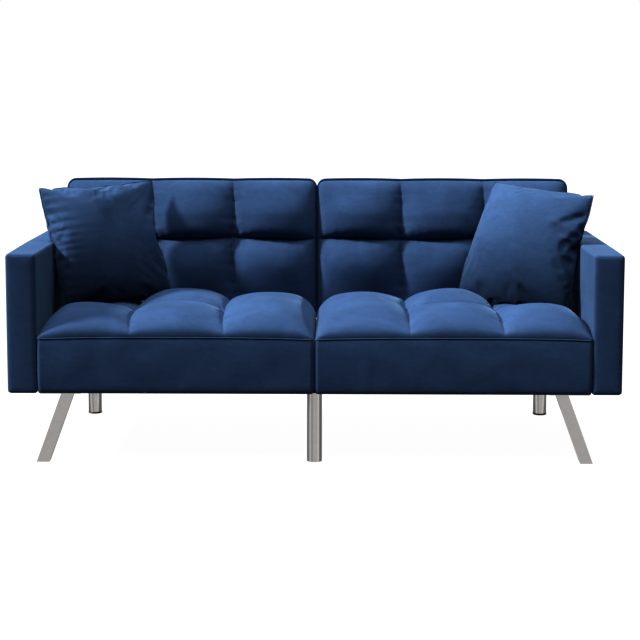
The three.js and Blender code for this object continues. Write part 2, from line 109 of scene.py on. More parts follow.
# Round the band to the rear: forward of the seam, drawn in, and lifted along the top
BACK_BAND_STATIONS = (
    (-0.002, 0.0012, 0.0014), (-0.0055, 0.0, 0.0044), (-0.012, 0.0, 0.0054), (-0.030, 0.0, 0.0062),
    (-0.048, 0.0, 0.0062), (-0.058, 0.0, 0.0058), (-0.0645, 0.0006, 0.0056),
)
BACK_CLOSING = 0.0025  # how far the band's inner side leans towards the other back
BACK_REAR_INSET = 0.008
BACK_REAR_PADDING = 0.0045
BACK_REAR_ROUNDING = 0.09
FRONT_PIPING = 0.0046
FRONT_PIPING_FORWARD = -0.0005
FRONT_PIPING_LIFT = 0.0032
REAR_PIPING = 0.0028
REAR_PIPING_FORWARD = 0.003 - BACK_BAND
REAR_PIPING_INSET = 0.0022

# Foam fillings
FOAM_STEP = 0.010
FOAM_MARGIN = 0.005
FOAM_SINK = 0.015
SEAT_FOAM_FLOOR = -0.011
BACK_FOAM_FLOOR = -0.0055

# Quilting
SETTLED = 0.06  # distance from the outline over which irregularities grow
SPLAY_REACH = 0.15
COLUMN_WANDER = 0.0022
ROW_WANDER = 0.0028
GATHER_WAVES = ((0.031, 1.0, 1.0), (0.0193, 0.7, 2.3), (0.053, 0.8, 0.7))  # length, share, turn of phase
GATHER_REACH = 0.02
TUFT_RADIUS = 0.024
CREASE_COUNT = 7
CREASE_SHARE = 0.22
CREASE_START = 0.012
CREASE_REACH = 0.045
# level: how far the whole pad stands above its seam; widths: over what distance it rises at each edge
# bulge: how much more each cell stands out, by column and row
# divided: how far the rows of each column are parted
# profile: for each row, the power and fullness of its swelling before and past the cell's middle
# lean: how far each row's fullest line is moved towards low v, in halves of the row
# gather, tuft, lumps: depths of the folds at seams, of the dips where seams cross, of uneven filling
SEAT_FORM = {
    "level": 0.038,
    "widths": (0.065, 0.070, 0.120, 0.090),
    "bulge": ((0.054, 0.054), (0.049, 0.053), (0.044, 0.027)),
    "divided": (0.0, 0.9, 0.9),
    "profile": (((2.5, 0.60), (2.5, 0.60)), ((2.5, 0.60), (2.5, 0.60))),
    "lean": (0.0, 0.0),
    "gather": 0.0011,
    "tuft": 0.010,
    "lumps": 0.0010,
}
BACK_FORM = {
    "level": 0.014,
    "widths": (0.028, 0.040, 0.060, 0.045),
    "bulge": ((0.051, 0.048), (0.051, 0.049), (0.050, 0.048)),
    "divided": (1.0, 1.0, 1.0),
    "profile": (((1.7, 0.75), (2.2, 0.58)), ((4.2, 0.52), (1.6, 0.72))),
    "lean": (-0.32, 0.26),
    "gather": 0.0013,
    "tuft": 0.009,
    "lumps": 0.0008,
}

# Arms: u runs outwards and v up, and the outline is carried back along the depth
ARM_WIDTH = ARM_HIGH.x - ARM_LOW.x
ARM_HEIGHT = ARM_HIGH.z - ARM_LOW.z
ARM_DEPTH = ARM_HIGH.y - ARM_LOW.y
ARM_EDGE = 0.0085
ARM_TOP_EDGE = 0.0115
ARM_TOP_EDGE_ROWS = 7
ARM_TOP_EDGE_CLEAR = 0.003
ARM_REAR_EDGE = 0.045
ARM_LOWER_CORNERS = (0.006, 0.009)
ARM_UPPER_CORNERS = (0.009, ARM_TOP_EDGE)
ARM_DENSE_ROW = 0.19
ARM_DENSE_STATION = 0.40
ARM_STEPS = (0.008, 0.012, 0.016)  # between grid lines along u, v and the depth
ARM_FRONT_BULGE = -0.0016
ARM_REAR_BULGE = 0.001
ARM_FACE_ROUNDING = 0.04
ARM_OUTER_PADDING = 0.0026
ARM_INNER_PADDING = 0.0022
ARM_PADDED_FROM = 0.235
ARM_PADDED_OVER = 0.05
ARM_CREASE = 0.0005
ARM_CREASED_PADDING = 0.001
ARM_SHRINK = 0.0003

# Deck and dust cover
DECK_COLUMNS = (DECK_LOW.x, 0.28, 0.56, DECK_HIGH.x)
DECK_EDGE = 0.008
DECK_SINK = 0.0012
DECK_FLAT_ROWS = 16
DECK_REAR_ROWS = 9
DECK_REAR_TOP = 0.018
DECK_HEM = 0.002
DECK_STEP = 0.014
DECK_HELD = 0.03  # distance from the sides over which slack grows
DECK_TOP_SLACK = 0.0007
DECK_REAR_SLACK = 0.0006
DECK_FABRIC = 0.0018
DUST_STEP = 0.03
DUST_SHEET = 0.0008
DUST_SLACK = 0.0022
DUST_SPAN = 0.25
DUST_HELD = 0.06
DUST_MIDDLE = 0.02  # how far from a held edge its middle line counts as being

# Rear legs
LEG_RADIUS = 0.023
LEG_BEVEL = 0.0012
LEG_PLATE = 0.004
LEG_BORE = 0.002
FOOT_HEIGHT = 0.005
FOOT_RIM = 0.0006
FOOT_CROWN = 0.0002
PLATE_CORNER = 0.006
PLATE_EDGE = 0.007
PLATE_STEP = 0.003
PLATE_COLUMNS = 9

# Pillows: a runs outwards and b upwards, each from -1 to 1
PILLOW_CELLS = 60
PILLOW_SIZE = (0.400, 0.385)
PILLOW_HALF = 0.062
PILLOW_FRAMES = 40
PILLOW_SEAM = 0.0016
BLANK_EDGE, BLANK_RISE = 0.002, 0.02
INNER_THINNING, INNER_REACH = 0.5, 0.30
FRONT_SHARE, REAR_SHARE = 0.92, 0.88
RUFFLE_REACH, RUFFLE_START, RUFFLE_CORNER = 0.15, 0.06, 0.3
# Corners in the shared frame: lower inner, lower outer, upper outer, upper inner
PILLOW_CORNERS = {
    "left": (
        (-0.480, 0.092, 0.470), (-0.800, -0.128, 0.452), (-0.892, -0.046, 0.820), (-0.553, 0.172, 0.832)),
    "right": (
        (0.470, 0.090, 0.474), (0.800, -0.138, 0.448), (0.884, -0.088, 0.804), (0.597, 0.172, 0.830)),
}
# How straight the inner edge is, how far outwards and upwards the pillow is fullest, how full its
# front is, and how deep the ruffles at its outer edge are
PILLOW_FORM = {
    "left": {"inner_edge": 0.5, "outwards": 0.24, "upwards": 0.0, "front": 0.25, "ruffles": 0.0060},
    "right": {"inner_edge": 1.0, "outwards": -0.16, "upwards": 0.22, "front": 0.75, "ruffles": 0.0016},
}
OUTER_EDGE, LOWER_EDGE, UPPER_EDGE = 0.55, 1.6, 0.6  # how straight these edges are

# Colours and studio
NAVY = (0.037, 0.068, 0.131)
PILLOW_NAVY = (0.040, 0.073, 0.138)
# Painted shade on the pillows: the velvet darkens from the high height down to the darkness at the low height
PILLOW_PAINTED_SHADE = (0.46, 0.68, 0.32)
VELVET_SHEEN = (0.45, 0.70, 1.0)
# Dimmer sheen of the backs' piping, part of its painted shade
PIPING_SHEEN = (0.12, 0.25, 0.6)
CAMERA_PLACE = (0.0658, -5.2392, 1.2158)
CAMERA_PITCH, CAMERA_YAW, CAMERA_ROLL = math.radians(6.5), math.radians(-0.58), math.radians(0.09)
CAMERA_LENS = 91.2
CAMERA_SHIFT = -0.110
# Name, direction of travel, strength and angular size in degrees
SOFTBOXES = (
    ("key", (0.77, 0.14, -0.61), 8.8, 7),
    ("overhead", (0.05, 0.16, -1), 6.0, 60),
    ("rear", (-0.25, -0.9, -0.35), 1.5, 60),
)
ROOM_LIGHT = 0.14
# Brightness of the room at bearings once round it, the front in the middle
ROOM_PANELS = (
    (0.0, 0.30), (0.19, 0.26), (0.29, 0.95), (0.40, 0.50), (0.47, 0.76),
    (0.62, 0.76), (0.69, 1.0), (0.75, 0.34), (0.90, 0.26), (1.0, 0.70),
)
VIEW_GAMMA = 0.66
FLOOR_REACH = 60
FLOOR_GLOW = 0.985

# Directions that no horizontal path and no rising path of a tube runs along
ACROSS_LEVEL = np.array([0.31, 0.22, 0.92])
ACROSS_RISING = np.array([0.93, 0.31, 0.17])
RISING = 0.9


# Meshes
def spread(edges, step, closeness=0.6):
    """Positions from the first edge to the last, closer together beside every edge."""
    parts = []
    for low, high in zip(edges, edges[1:]):
        count = max(2, round((high - low) / step))
        t = np.arange(count) / count
        parts.append(low + (high - low) * (t - closeness * np.sin(2 * np.pi * t) / (2 * np.pi)))
    return np.append(np.concatenate(parts), edges[-1])


def corner_rows(edge, radius, count):
    """Rows from an edge back over the radius of its corners, closest together at the edge."""
    return edge - radius * (1 - np.cos(np.linspace(0, np.pi / 2, count)))


def corner_inset(gap, radius):
    """How far a rounded corner draws an edge in, at a distance gap from the end of that edge."""
    t = np.clip(1 - gap / radius, 0, 1)
    return radius * (1 - np.sqrt(1 - t * t))


def rounded_grid(us, vs, low_radii, high_radii):
    """A grid over a rectangle with rounded corners; radii at low and high v are (at low u, at high u)."""
    share = (us - us[0]) / (us[-1] - us[0])
    gap_low, gap_high = vs - vs[0], vs[-1] - vs
    left = corner_inset(gap_low, low_radii[0]) + corner_inset(gap_high, high_radii[0])
    right = corner_inset(gap_low, low_radii[1]) + corner_inset(gap_high, high_radii[1])
    start, end = us[0] + left, us[-1] - right
    grid_u = start[None, :] + share[:, None] * (end - start)[None, :]
    return grid_u, np.broadcast_to(vs[None, :], grid_u.shape).copy()


def inset_grid(u, v, inset):
    """The same grid drawn in by a distance all round."""
    middle_u, middle_v = (u.min() + u.max()) / 2, (v.min() + v.max()) / 2
    share_u = 1 - 2 * inset / (u.max() - u.min())
    share_v = 1 - 2 * inset / (v.max() - v.min())
    return middle_u + (u - middle_u) * share_u, middle_v + (v - middle_v) * share_v


def border(count_u, count_v):
    """Indices of a grid's border, once round."""
    walk = [(i, 0) for i in range(count_u)]
    walk += [(count_u - 1, j) for j in range(1, count_v)]
    walk += [(i, count_v - 1) for i in range(count_u - 2, -1, -1)]
    walk += [(0, j) for j in range(count_v - 2, 0, -1)]
    return tuple(np.array(walk).T)


def outline(u, v):
    """A grid's border as a loop of (u, v) points, and the unit vectors that point out of it there."""
    walk = border(*u.shape)
    loop = np.stack([u[walk], v[walk]], axis=1)
    along = np.roll(loop, -1, axis=0) - np.roll(loop, 1, axis=0)
    normal = np.stack([along[:, 1], -along[:, 0]], axis=1)
    return loop, normal / np.maximum(np.linalg.norm(normal, axis=1, keepdims=True), 1e-9)


def grid_quads(index):
    """Quads of a grid of point numbers."""
    corners = [index[:-1, :-1], index[1:, :-1], index[1:, 1:], index[:-1, 1:]]
    return np.stack(corners, axis=-1).reshape(-1, 4)


def strip_quads(loop, following):
    """Quads between a closed loop of point numbers and the one that follows it."""
    return np.stack([loop, np.roll(loop, -1), np.roll(following, -1), following], axis=-1)


def pad_mesh(top, rings, under=None):
    """Points and quads of a pad: a grid, rings of points outside its border, and a grid below."""
    count_u, count_v = top.shape[:2]
    walk = border(count_u, count_v)
    index = np.arange(count_u * count_v).reshape(count_u, count_v)
    points, quads, loop, used = [top.reshape(-1, 3)], [grid_quads(index)], index[walk], index.size
    for ring in rings:
        following = used + np.arange(len(loop))
        points.append(ring)
        quads.append(strip_quads(loop, following))
        loop, used = following, used + len(loop)
    if under is not None:
        points.append(under.reshape(-1, 3))
        quads.append(strip_quads(loop, (index + used)[walk]))
        quads.append(grid_quads(index + used))
    return np.concatenate(points), np.concatenate(quads)


def tube(path, radius, sides=8):
    """Points and quads of a round tube along a closed path of points."""
    ahead = np.roll(path, -1, axis=0) - np.roll(path, 1, axis=0)
    ahead /= np.linalg.norm(ahead, axis=1, keepdims=True)
    across = np.cross(ahead, ACROSS_LEVEL if abs(ahead[:, 2]).max() < RISING else ACROSS_RISING)
    across /= np.linalg.norm(across, axis=1, keepdims=True)
    over = np.cross(ahead, across)
    angle = 2 * np.pi * np.arange(sides) / sides
    ring = across[:, None, :] * np.cos(angle)[None, :, None] + over[:, None, :] * np.sin(angle)[None, :, None]
    points = path[:, None, :] + radius * ring
    index = np.arange(len(path) * sides).reshape(len(path), sides)
    following = np.roll(index, -1, axis=0)
    beside = np.roll(index, -1, axis=1)
    quads = np.stack([index, beside, np.roll(following, -1, axis=1), following], axis=-1).reshape(-1, 4)
    return points.reshape(-1, 3), quads


def turned(centre, stations, sides=48):
    """Points and quads of a round upright part from its (radius, height) stations."""
    radius, height = np.array(stations).T[:, :, None]
    angle = 2 * np.pi * np.arange(sides) / sides
    x, y = centre[0] + radius * np.cos(angle), centre[1] + radius * np.sin(angle)
    index = np.arange(len(stations) * sides).reshape(len(stations), sides)
    beside = np.roll(index, -1, axis=1)
    quads = np.stack([index[:-1], beside[:-1], beside[1:], index[1:]], axis=-1).reshape(-1, 4)
    return np.stack([x, y, height + 0 * angle], axis=-1).reshape(-1, 3), quads


def slab(low, high, bottom):
    """Points and quads of a plate with rounded corners, under the top of a box down to a height."""
    us = np.linspace(low.x, high.x, PLATE_COLUMNS)
    vs = spread((low.y, low.y + PLATE_EDGE, high.y - PLATE_EDGE, high.y), PLATE_STEP)
    u, v = rounded_grid(us, vs, (PLATE_CORNER,) * 2, (PLATE_CORNER,) * 2)
    return pad_mesh(np.stack([u, v, np.full_like(u, high.z)], axis=-1), [],
                    np.stack([u, v, np.full_like(u, bottom)], axis=-1))


def mesh_of(name, points, quads, without_loose=False):
    """A mesh with consistent normals, and without the points that no quad uses if asked."""
    mesh = bpy.data.meshes.new(name)
    mesh.from_pydata(points.tolist(), [], quads.tolist())
    shape = bmesh.new()
    shape.from_mesh(mesh)
    if without_loose:
        bmesh.ops.delete(shape, geom=[p for p in shape.verts if not p.link_faces], context="VERTS")
    bmesh.ops.recalc_face_normals(shape, faces=shape.faces)
    shape.to_mesh(mesh)
    shape.free()
    return mesh


def placed(name, data):
    """A new object in the scene."""
    made = bpy.data.objects.new(name, data)
    bpy.context.scene.collection.objects.link(made)
    return made


def piece(name, points, quads, finish, body, slot):
    """A smooth-shaded object riding on a body."""
    mesh = mesh_of(name, points, quads)
    mesh.shade_smooth()
    mesh.materials.append(finish)
    made = placed(name, mesh)
    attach(made, body)
    return made


# Quilting
def swell(a, power=2.1, fullness=0.66):
    """1 in the middle of a cell and 0 at its seams, a going from -1 to 1."""
    return (1 - np.clip(np.abs(a), 0, 1) ** power) ** fullness


def rise(distance, width):
    """A quarter ellipse from 0 at an edge to 1 at width from it."""
    t = np.clip(1 - distance / width, 0, 1)
    return np.sqrt(1 - t * t)


def cell(values, edges):
    """The cell each value is in, and where in it, from -1 to 1."""
    number = np.clip(np.searchsorted(edges, values) - 1, 0, len(edges) - 2)
    low, high = np.take(edges, number), np.take(edges, number + 1)
    return number, 2 * (values - low) / (high - low) - 1


def gathers(along, distance, phase):
    """Small folds running off a seam, fading with the distance from it."""
    folds = 0
    for length, share, turn in GATHER_WAVES:
        folds = folds + share * np.sin(2 * np.pi * along / length + turn * phase)
    return folds * np.exp(-distance / GATHER_REACH)


def tuft(du, dv, depth, phase):
    """The dip where seams cross, and the creases running off it."""
    away = np.hypot(du, dv)
    fading = np.exp(-away / CREASE_REACH) * (1 - np.exp(-(away / CREASE_START) ** 2))
    creases = CREASE_SHARE * np.cos(CREASE_COUNT * np.arctan2(dv, du) + phase) * fading
    return depth * (np.exp(-(away / TUFT_RADIUS) ** 2) + creases)


def lumps(u, v, phase):
    """Uneven filling: three crossing waves."""
    return np.sin(17 * u + 11 * v + phase) + np.sin(29 * u - 19 * v + 2 * phase) + np.sin(37 * v + 7 * u)


def wandered(u, v, columns, settled, phase, splay):
    """The grid as its seams see it: they wander, and splay leans the columns' seams at low v."""
    share = (u - columns[0]) / (columns[-1] - columns[0])
    splayed = np.sin(np.pi * share) * np.clip(1 - v / SPLAY_REACH, 0, 1)
    wavy_u = u + splay * splayed + settled * COLUMN_WANDER * np.sin(21 * v + phase)
    wavy_v = v + settled * ROW_WANDER * np.sin(13 * u + 1.7 * phase)
    return wavy_u, wavy_v


def cushions(v, wavy_u, wavy_v, columns, rows, form):
    """Height of the stuffed cells, and how far the rows are parted at each point."""
    column, a = cell(wavy_u, columns)
    row, b = cell(wavy_v, rows)
    b = b + np.take(form["lean"], row) * (1 - b * b)
    whole = 2 * (v - rows[0]) / (rows[-1] - rows[0]) - 1
    divided = np.take(form["divided"], column)
    power, fill = np.moveaxis(np.array(form["profile"])[row, (b > 0).astype(int)], -1, 0)
    across = divided * swell(b, power, fill) + (1 - divided) * swell(whole, *form["profile"][0][0])
    return np.array(form["bulge"])[column, row] * swell(a) * across, divided


def quilted(u, v, columns, rows, form, phase, splay=0.0):
    """Height of a tufted pad above its seam, at each point of a grid."""
    inside = np.minimum.reduce([u - columns[0], columns[-1] - u, v - rows[0], rows[-1] - v])
    settled = np.clip(inside / SETTLED, 0, 1)
    wavy_u, wavy_v = wandered(u, v, columns, settled, phase, splay)
    height, divided = cushions(v, wavy_u, wavy_v, columns, rows, form)
    widths = form["widths"]
    height += form["level"] * (rise(u - columns[0], widths[0]) * rise(columns[-1] - u, widths[1])
                               * rise(v - rows[0], widths[2]) * rise(rows[-1] - v, widths[3]))
    for line in columns[1:-1]:
        height += settled * form["gather"] * gathers(v, np.abs(wavy_u - line), phase + 40 * line)
    for line in rows[1:-1]:
        height += settled * divided * form["gather"] * gathers(u, np.abs(wavy_v - line), phase + 70 * line)
    for place_u in columns[1:-1]:
        for place_v in rows[1:-1]:
            height -= settled * divided * tuft(u - place_u, v - place_v, form["tuft"], phase + 9 * place_u)
    return height + settled * form["lumps"] * lumps(u, v, phase)


# Finishes
def node(tree, kind, inputs=None, **settings):
    """Adds a node; an input given as another node's output is linked, any other value is set."""
    made = tree.nodes.new(kind)
    for name, value in settings.items():
        setattr(made, name, value)
    for name, value in (inputs or {}).items():
        if isinstance(value, bpy.types.NodeSocket):
            tree.links.new(value, made.inputs[name])
        else:
            made.inputs[name].default_value = value
    return made


def start_finish(name, **sockets):
    """A new Principled material: the material, its tree, its shader and its object coordinates."""
    material = bpy.data.materials.new(name)
    material.use_nodes = True
    tree = material.node_tree
    shader = tree.nodes["Principled BSDF"]
    for socket, value in sockets.items():
        shader.inputs[socket.replace("_", " ")].default_value = value
    return material, tree, shader, node(tree, "ShaderNodeTexCoord").outputs["Object"]


def noise(tree, place, scale, detail=3.0, roughness=0.55, distortion=0.0):
    """Noise from 0 to 1."""
    return node(tree, "ShaderNodeTexNoise", {
        "Vector": place, "Scale": scale, "Detail": detail, "Roughness": roughness, "Distortion": distortion,
    }).outputs["Fac"]


def cells(tree, place, scale, randomness=1.0):
    """Distance to the nearest of scattered points."""
    return node(tree, "ShaderNodeTexVoronoi", {
        "Vector": place, "Scale": scale, "Randomness": randomness,
    }).outputs["Distance"]


def grey(level):
    """A neutral colour."""
    return (level,) * 3


def ramp(tree, value, *stops):
    """Colours at positions along a value."""
    made = node(tree, "ShaderNodeValToRGB", {"Fac": value})
    elements = made.color_ramp.elements
    while len(elements) < len(stops):
        elements.new(0.5)
    for element, (position, colour) in zip(elements, stops):
        element.position = position
        element.color = (*colour, 1)
    return made.outputs["Color"]


def scaled(tree, value, low, high):
    """A value from 0 to 1 brought to a range."""
    made = node(tree, "ShaderNodeMapRange", {"Value": value, "To Min": low, "To Max": high})
    return made.outputs["Result"]


def stretched(tree, place, scale):
    """Coordinates scaled along each axis."""
    return node(tree, "ShaderNodeMapping", {"Vector": place, "Scale": scale}).outputs["Vector"]


def multiplied(tree, first, second):
    """The product of two colours."""
    mixed = node(tree, "ShaderNodeMix", {"Factor": 1.0}, data_type="RGBA", blend_type="MULTIPLY")
    tree.links.new(first, mixed.inputs["A"])
    tree.links.new(second, mixed.inputs["B"])
    return mixed.outputs["Result"]


def bumped(tree, shader, *heights):
    """Bump from (height, strength, distance) entries, one on another."""
    normal = None
    for height, strength, distance in heights:
        inputs = {"Height": height, "Strength": strength, "Distance": distance}
        if normal is not None:
            inputs["Normal"] = normal
        normal = node(tree, "ShaderNodeBump", inputs).outputs["Normal"]
    tree.links.new(normal, shader.inputs["Normal"])


def shaded(colour, factor):
    """A colour made lighter or darker."""
    return tuple(min(1.0, c * factor) for c in colour)


def velvet(name, colour, sheen_tint, sheen, sheen_roughness, painted_shade=None):
    """Short-pile velvet: patches where the nap lies another way, and a fine pile.

    painted_shade is (low height, high height, darkness at the low one): painted shade that darkens the colour
    towards the low height, for the shade on the lower part of a pillow.
    """
    material, tree, shader, place = start_finish(
        name, Roughness=0.85, Sheen_Weight=sheen, Sheen_Roughness=sheen_roughness,
        Sheen_Tint=(*sheen_tint, 1), Specular_IOR_Level=0.03)
    nap = noise(tree, place, 5.5, 4, 0.6, 1.2)
    pressed = noise(tree, stretched(tree, place, (1, 1, 2.6)), 34, 3, 0.6, 0.8)
    pile = noise(tree, place, 1400, 2, 0.6)
    patches = ramp(tree, nap, (0.30, shaded(colour, 0.86)), (0.52, colour), (0.72, shaded(colour, 1.16)))
    tint = multiplied(tree, patches, ramp(tree, pressed, (0.3, grey(0.93)), (0.7, grey(1.07))))
    if painted_shade is not None:
        # Painted shade: the colour darkens towards the low height, standing in for the shade under a pillow's
        # belly
        low, high, darkness = painted_shade
        up = node(tree, "ShaderNodeSeparateXYZ", {"Vector": place}).outputs["Z"]
        share = node(tree, "ShaderNodeMapRange", {"Value": up, "From Min": low, "From Max": high})
        painted_shading = ramp(tree, share.outputs["Result"], (0.0, grey(darkness)), (1.0, grey(1)))
        tint = multiplied(tree, tint, painted_shading)
    tree.links.new(tint, shader.inputs["Base Color"])
    tree.links.new(scaled(tree, nap, 0.72, 0.96), shader.inputs["Roughness"])
    bumped(tree, shader, (pressed, 0.08, 0.004), (pile, 0.30, 0.0006))
    return material


def metal(name, colour, roughness, grain):
    """Metal with faint smudges, and fine lines along the given direction of stretch."""
    material, tree, shader, place = start_finish(name, Metallic=1.0)
    smudges = noise(tree, place, 38, 5, 0.65, 0.6)
    lines = noise(tree, stretched(tree, place, grain), 60, 3)
    tint = ramp(tree, smudges, (0.3, shaded(colour, 0.95)), (0.7, shaded(colour, 1.03)))
    tree.links.new(tint, shader.inputs["Base Color"])
    tree.links.new(scaled(tree, smudges, roughness * 0.8, roughness * 1.3), shader.inputs["Roughness"])
    bumped(tree, shader, (lines, 0.05, 0.0006))
    return material


def plywood():
    """Pale birch plywood: long grain on the faces and thin layers through the thickness."""
    material, tree, shader, place = start_finish("plywood_finish", Specular_IOR_Level=0.35)
    grain = noise(tree, stretched(tree, place, (3, 3, 42)), 4, 6, 0.6, 0.5)
    blotches = noise(tree, place, 9, 3)
    layers = node(tree, "ShaderNodeTexWave", {
        "Vector": place, "Scale": 110.0, "Distortion": 0.4, "Detail": 1.0}, bands_direction="X")
    dark, middle, light = (0.50, 0.33, 0.17), (0.64, 0.45, 0.26), (0.72, 0.54, 0.34)
    face = ramp(tree, grain, (0.25, dark), (0.55, middle), (0.8, light))
    layered = ramp(tree, layers.outputs["Fac"], (0.35, (0.86, 0.84, 0.82)), (0.6, grey(1)))
    tree.links.new(multiplied(tree, face, layered), shader.inputs["Base Color"])
    tree.links.new(scaled(tree, blotches, 0.55, 0.8), shader.inputs["Roughness"])
    bumped(tree, shader, (grain, 0.2, 0.001))
    return material


def foam():
    """Open-cell foam: warm white, pitted all over."""
    material, tree, shader, place = start_finish("foam_finish", Specular_IOR_Level=0.2, Roughness=0.95)
    pits = cells(tree, place, 420.0)
    aged = noise(tree, place, 12, 4)
    tint = ramp(tree, aged, (0.3, (0.78, 0.70, 0.50)), (0.7, (0.86, 0.81, 0.66)))
    tree.links.new(tint, shader.inputs["Base Color"])
    bumped(tree, shader, (pits, 0.6, 0.002))
    return material


def black_cloth():
    """Black non-woven sheet, dotted by its bonding points."""
    material, tree, shader, place = start_finish("black_cloth_finish", Specular_IOR_Level=0.3)
    dots = cells(tree, place, 480.0, 0.15)
    dust = noise(tree, place, 14, 4)
    tint = ramp(tree, dust, (0.3, (0.012, 0.012, 0.014)), (0.7, (0.028, 0.028, 0.030)))
    tree.links.new(tint, shader.inputs["Base Color"])
    tree.links.new(scaled(tree, dust, 0.8, 0.95), shader.inputs["Roughness"])
    bumped(tree, shader, (dots, 0.5, 0.0006))
    return material


def black_plastic():
    """Black moulded plastic with a fine texture, scuffed where it meets the floor."""
    material, tree, shader, place = start_finish("black_plastic_finish")
    texture = noise(tree, place, 900, 2)
    scuffs = noise(tree, stretched(tree, place, (1, 1, 4)), 60, 5, 0.7)
    tint = ramp(tree, scuffs, (0.4, (0.012, 0.012, 0.013)), (0.75, (0.05, 0.05, 0.052)))
    tree.links.new(tint, shader.inputs["Base Color"])
    tree.links.new(scaled(tree, scuffs, 0.4, 0.65), shader.inputs["Roughness"])
    bumped(tree, shader, (texture, 0.2, 0.0004))
    return material


FINISHES = {
    "velvet": velvet("velvet_finish", NAVY, VELVET_SHEEN, 0.13, 0.40),
    "pillow_velvet": velvet("pillow_velvet_finish", PILLOW_NAVY, VELVET_SHEEN, 0.13, 0.40, PILLOW_PAINTED_SHADE),
    # Painted shade: the backs' piping is the velvet darkened to 0.45 with a dimmer sheen, for the shade along
    # the backrests' edges
    "piping": velvet("piping_finish", shaded(NAVY, 0.45), PIPING_SHEEN, 0.15, 0.5),
    "foam": foam(),
    "plywood": plywood(),
    "spring_steel": metal("spring_steel_finish", (0.20, 0.20, 0.21), 0.42, (1, 1, 1)),
    "zinc_steel": metal("zinc_steel_finish", (0.55, 0.56, 0.58), 0.38, (1, 1, 6)),
    "polished_steel": metal("polished_steel_finish", (0.62, 0.60, 0.585), 0.11, (8, 8, 1)),
    "black_cloth": black_cloth(),
    "black_plastic": black_plastic(),
}


def finish_cad_nodes():
    """Gives every carried-over CAD node the finish of its material slot."""
    for part in frame["nodes"].values():
        for slot in part.material_slots:
            slot.material = FINISHES[slot.material.name.split(".")[0]]


# Seat and backs
SEAT_MATRIX = Matrix.Translation((0, FRONT, 0))
SEAT_FOAM_MATRIX = Matrix.Translation((0, FRONT, SEAM_HEIGHT))
BACK_MATRIX = (Matrix.Translation(PIVOT) @ Matrix.Rotation(-LEAN, 4, "X")
               @ Matrix(((1, 0, 0, 0), (0, 0, -1, -PIVOT_IN), (0, 1, 0, -PIVOT_UP), (0, 0, 0, 1))))


def mapped(sign, u, v, height, matrix):
    """Points of a half in the shared frame, from u, v and height drawn on the right side."""
    local = np.stack([sign * u, v, height, np.ones_like(u)], axis=-1)
    return local @ np.array(matrix).T[:, :3]


def mapped_loop(sign, loop, height, matrix):
    """Points of a half in the shared frame, from a loop of (u, v) points and its height."""
    return mapped(sign, loop[:, 0], loop[:, 1], np.broadcast_to(height, len(loop)), matrix)


def seat_surface(sign, step):
    """Outline grid of a half of the seat, and the height of its top above the seam."""
    us, vs = spread(SEAT_COLUMNS, step), spread(SEAT_ROWS, step)
    u, v = rounded_grid(us, vs, (SEAT_CORNER,) * 2, (SEAT_CORNER,) * 2)
    return u, v, quilted(u, v, SEAT_COLUMNS, SEAT_ROWS, SEAT_FORM, *SEAT_IRREGULARITY[sign])


def back_surface(sign, step):
    """Outline grid of a backrest, and how far its front stands out from the front seam."""
    vs = np.concatenate([np.linspace(0, BACK_HEM, BACK_HEM_ROWS), spread(BACK_ROWS, step)])
    below_corner = vs[vs < BACK_LENGTH - BACK_CORNER - BACK_CORNER_CLEAR]
    in_corner = corner_rows(BACK_LENGTH, BACK_CORNER, BACK_CORNER_ROWS)
    vs = np.unique(np.round(np.concatenate([below_corner, in_corner]), 6))
    u, v = rounded_grid(spread(BACK_COLUMNS, step), vs, (BACK_LOWER_CORNER,) * 2, (BACK_CORNER,) * 2)
    a = cell(u, BACK_COLUMNS)[1]
    v = v - BACK_SCALLOP * a * a * (v / BACK_LENGTH) ** 5
    height = quilted(u, v, BACK_COLUMNS, BACK_ROWS, BACK_FORM, BACK_PHASE[sign])
    height = np.where(v > BACK_ROWS[0], height, 0)
    height[border(*u.shape)] = 0
    return u, v, height


def foam_block(name, sign, surface, floor_height, matrix, body, node_name):
    """The foam under a tufted cover: the cover's form, a cover's thickness smaller."""
    u, v, height = surface(sign, FOAM_STEP)
    inner_u, inner_v = inset_grid(u, v, FOAM_MARGIN)
    top = np.maximum(height - FOAM_SINK, floor_height + FOAM_MARGIN)
    under = mapped(sign, inner_u, inner_v, np.full_like(u, floor_height), matrix)
    points, quads = pad_mesh(mapped(sign, inner_u, inner_v, top, matrix), [], under)
    made = piece(name, points, quads, FINISHES["foam"], body, "foam")
    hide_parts(node_name)


def seam_sag(u):
    """How far the seat's seam line lies above or below its height, lowest at its two ends."""
    share = (u - SEAT_COLUMNS[0]) / (SEAT_COLUMNS[-1] - SEAT_COLUMNS[0])
    return SEAM_RISE - SEAM_FALL * np.abs(2 * share - 1) ** 3


def seat_band(sign, loop, out):
    """Rings of points down the band of a half of the seat and in under it."""
    facing, inward = np.clip(-out[:, 1], 0, 1), np.clip(-out[:, 0], 0, 1)
    rings = []
    for drop, push in SEAT_BAND:
        rippled = SEAT_RIPPLE_FROM < drop < SEAT_RIPPLE_TO
        ripple = SEAT_RIPPLE * np.sin(23 * loop[:, 0] + 40 * drop) if rippled else 0
        closing = SEAT_CLOSING * min(1, -drop / SEAT_CLOSING_DROP) * inward
        shift = np.where(push < 0, push, np.maximum(push * facing, closing)) + ripple * facing
        level = SEAM_HEIGHT + drop + seam_sag(loop[:, 0]) * (1 + drop / SEAT_BAND_DEPTH)
        rings.append(mapped_loop(sign, loop + out * shift[:, None], level, SEAT_MATRIX))
    return rings


